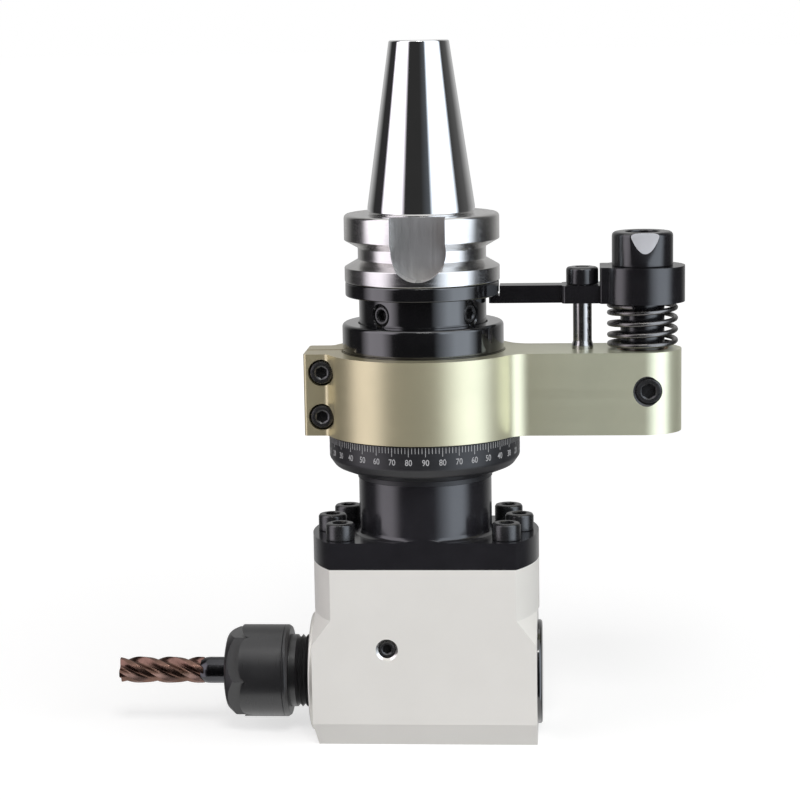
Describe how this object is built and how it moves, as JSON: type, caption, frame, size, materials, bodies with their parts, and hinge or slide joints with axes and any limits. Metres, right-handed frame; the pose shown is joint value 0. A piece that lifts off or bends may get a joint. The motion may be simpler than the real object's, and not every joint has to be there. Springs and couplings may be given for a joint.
{
  "type": "right-angle milling head",
  "caption": "Right-angle milling head with a 7:24 taper shank, mitre gears, a collet with an end mill, and a clamp-on torque arm with a sprung stop pin and lock lever.",
  "frame": {"origin": "spindle axis on the flat base of the gear housing", "axes": "+Z along the spindle axis, up to the taper shank; -X towards the tool, +X along the torque arm; the pictured side is -Y"},
  "size_m": [0.172, 0.059, 0.2079],
  "materials": {
    "ground_steel": "ground, close to a mirror",
    "black_steel": "glossy black oxide",
    "black_oxide": "satin black oxide",
    "bearing_steel": "ground",
    "gear_steel": "ground tooth flanks",
    "dial_black": "satin black with white engraved scale",
    "seal_rubber": "smooth",
    "housing_paint": "smooth satin, warm white",
    "pale_nickel": "satin nickel",
    "coated_carbide": "copper-brown coating",
    "gold_anodised": "satin champagne anodising",
    "bronze": "turned",
    "spring_steel": "dark spring wire"
  },
  "bodies": {
    "housing": {"gear_housing": "housing_paint", "neck_housing": "black_steel", "plate_screws": "black_oxide", "plate_seal": "seal_rubber", "grease_screw": "black_oxide", "index_dial": "dial_black", "spindle_sleeve": "black_steel", "bearing_cover": "black_steel", "bearing_retainer": "bearing_steel", "lower_bearing_outer_race": "bearing_steel", "middle_bearing_outer_race": "bearing_steel", "upper_bearing_outer_race": "bearing_steel", "front_bearing_a_outer_race": "bearing_steel", "front_bearing_b_outer_race": "bearing_steel", "rear_bearing_outer_race": "bearing_steel", "nose_cap": "pale_nickel", "nose_seal": "seal_rubber", "rear_cap": "black_steel"},
    "input_drive": {"taper_shank": "ground_steel", "lock_collar": "black_steel", "pinch_screws": "black_oxide", "drive_shaft": "bearing_steel", "shaft_nut": "bearing_steel", "bearing_spacer": "bearing_steel", "input_gear": "gear_steel", "lower_bearing_inner_race": "bearing_steel", "lower_bearing_balls": "bearing_steel", "middle_bearing_inner_race": "bearing_steel", "middle_bearing_balls": "bearing_steel", "upper_bearing_inner_race": "bearing_steel", "upper_bearing_balls": "bearing_steel"},
    "cutter_drive": {"tool_spindle": "black_oxide", "preload_nut": "bearing_steel", "rear_nut": "bearing_steel", "gear_spacer": "bearing_steel", "output_gear": "gear_steel", "collet": "bearing_steel", "collet_nut": "black_oxide", "end_mill": "coated_carbide", "front_bearing_a_inner_race": "bearing_steel", "front_bearing_a_balls": "bearing_steel", "front_bearing_b_inner_race": "bearing_steel", "front_bearing_b_balls": "bearing_steel", "rear_bearing_inner_race": "bearing_steel", "rear_bearing_balls": "bearing_steel"},
    "torque_arm": {"clamp_arm": "gold_anodised", "clamp_screws": "black_oxide", "arm_screw": "black_oxide", "pin_bush": "bronze", "guide_post": "ground_steel", "guide_screw": "black_oxide", "pin_spring": "spring_steel"},
    "lock_plunger": {"stop_pin": "black_oxide", "lock_lever": "black_oxide"}
  },
  "joints": [
    {"name": "spindle_spin", "type": "hinge", "parent": "housing", "child": "input_drive", "pos_m": [0, 0, 0.14], "axis": [0, 0, 1], "continuous": true},
    {"name": "cutter_spin", "type": "hinge", "parent": "housing", "child": "cutter_drive", "pos_m": [0, 0, 0.018], "axis": [1, 0, 0], "continuous": true},
    {"name": "arm_swivel", "type": "hinge", "parent": "housing", "child": "torque_arm", "pos_m": [0, 0, 0.104], "axis": [0, 0, 1], "continuous": true},
    {"name": "plunger_slide", "type": "slide", "parent": "torque_arm", "child": "lock_plunger", "axis": [0, 0, -1], "range_m": [0, 0.005], "stiffness_N_per_m": 4000, "springref_m": -0.005, "deforming": ["pin_spring"]}
  ],
  "couplings": [
    {"joint": "cutter_spin", "follows": "spindle_spin", "ratio": -1}
  ]
}
